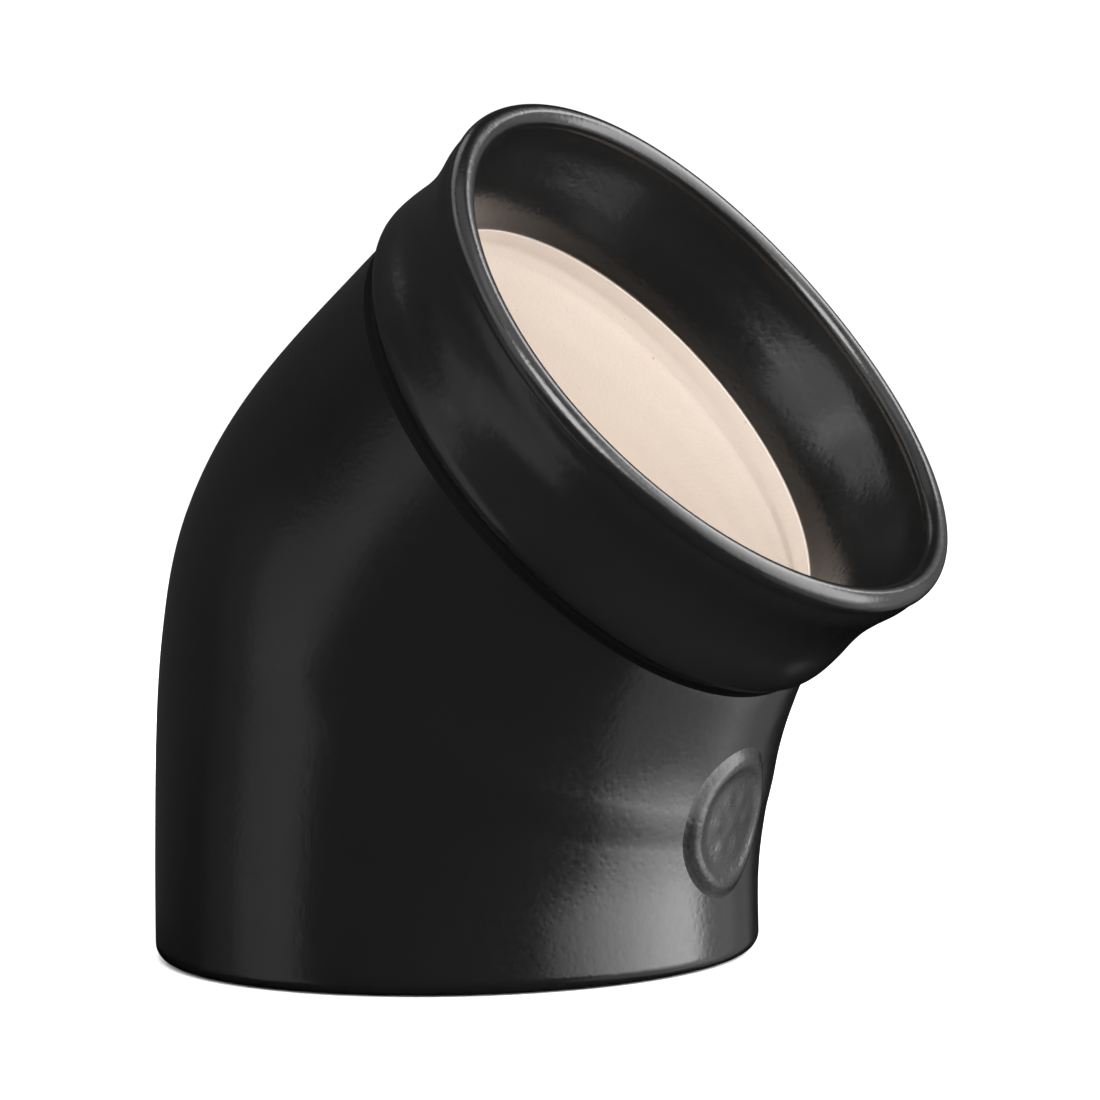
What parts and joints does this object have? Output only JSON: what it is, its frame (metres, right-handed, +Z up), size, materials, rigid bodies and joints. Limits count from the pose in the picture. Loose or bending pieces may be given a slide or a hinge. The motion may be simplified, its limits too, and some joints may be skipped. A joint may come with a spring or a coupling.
{
  "type": "salt pig",
  "caption": "Bent ceramic salt pig with a wide round mouth, satin black glaze outside and bare clay inside.",
  "frame": {"origin": "centre of the flat foot, on the surface that the pot stands on", "axes": "+Z up, +X the way the pot leans and its mouth faces, y = 0 the mirror plane"},
  "size_m": [0.1327, 0.1048, 0.1385],
  "materials": {
    "bare_clay": "matte",
    "body_glaze": "satin",
    "joint_glaze": "satin",
    "collar_glaze": "satin",
    "seal_glaze": "satin"
  },
  "bodies": {
    "root": {"clay_floor": "bare_clay", "clay_drum": "bare_clay", "clay_elbow": "bare_clay", "body_glaze": "body_glaze", "luting_ring": "joint_glaze", "mouth_collar": "collar_glaze", "seal_medallion": "seal_glaze"}
  },
  "joints": []
}
